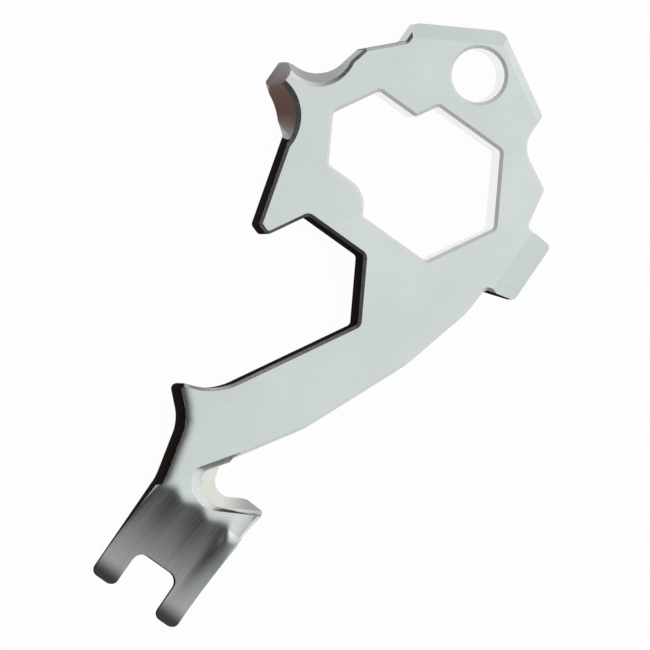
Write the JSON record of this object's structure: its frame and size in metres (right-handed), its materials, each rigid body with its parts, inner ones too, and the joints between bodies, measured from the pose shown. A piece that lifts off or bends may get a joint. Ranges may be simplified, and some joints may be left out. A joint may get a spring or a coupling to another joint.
{
  "type": "keychain multi-tool",
  "caption": "One-piece steel keychain tool with hex sockets, open hex wrench, bottle claw, flat drivers, pry hook, forked pry blade and ring hole.",
  "frame": {"origin": "middle of the bounding box at the back face", "axes": "+Y along the tool from the fork to the ring hole, +Z out of the front face"},
  "size_m": [0.0354, 0.0728, 0.0048],
  "materials": {
    "satin_steel": "satin-brushed faces, ground working ends and darker cut walls"
  },
  "bodies": {
    "root": {"tool_body": "satin_steel"}
  },
  "joints": []
}
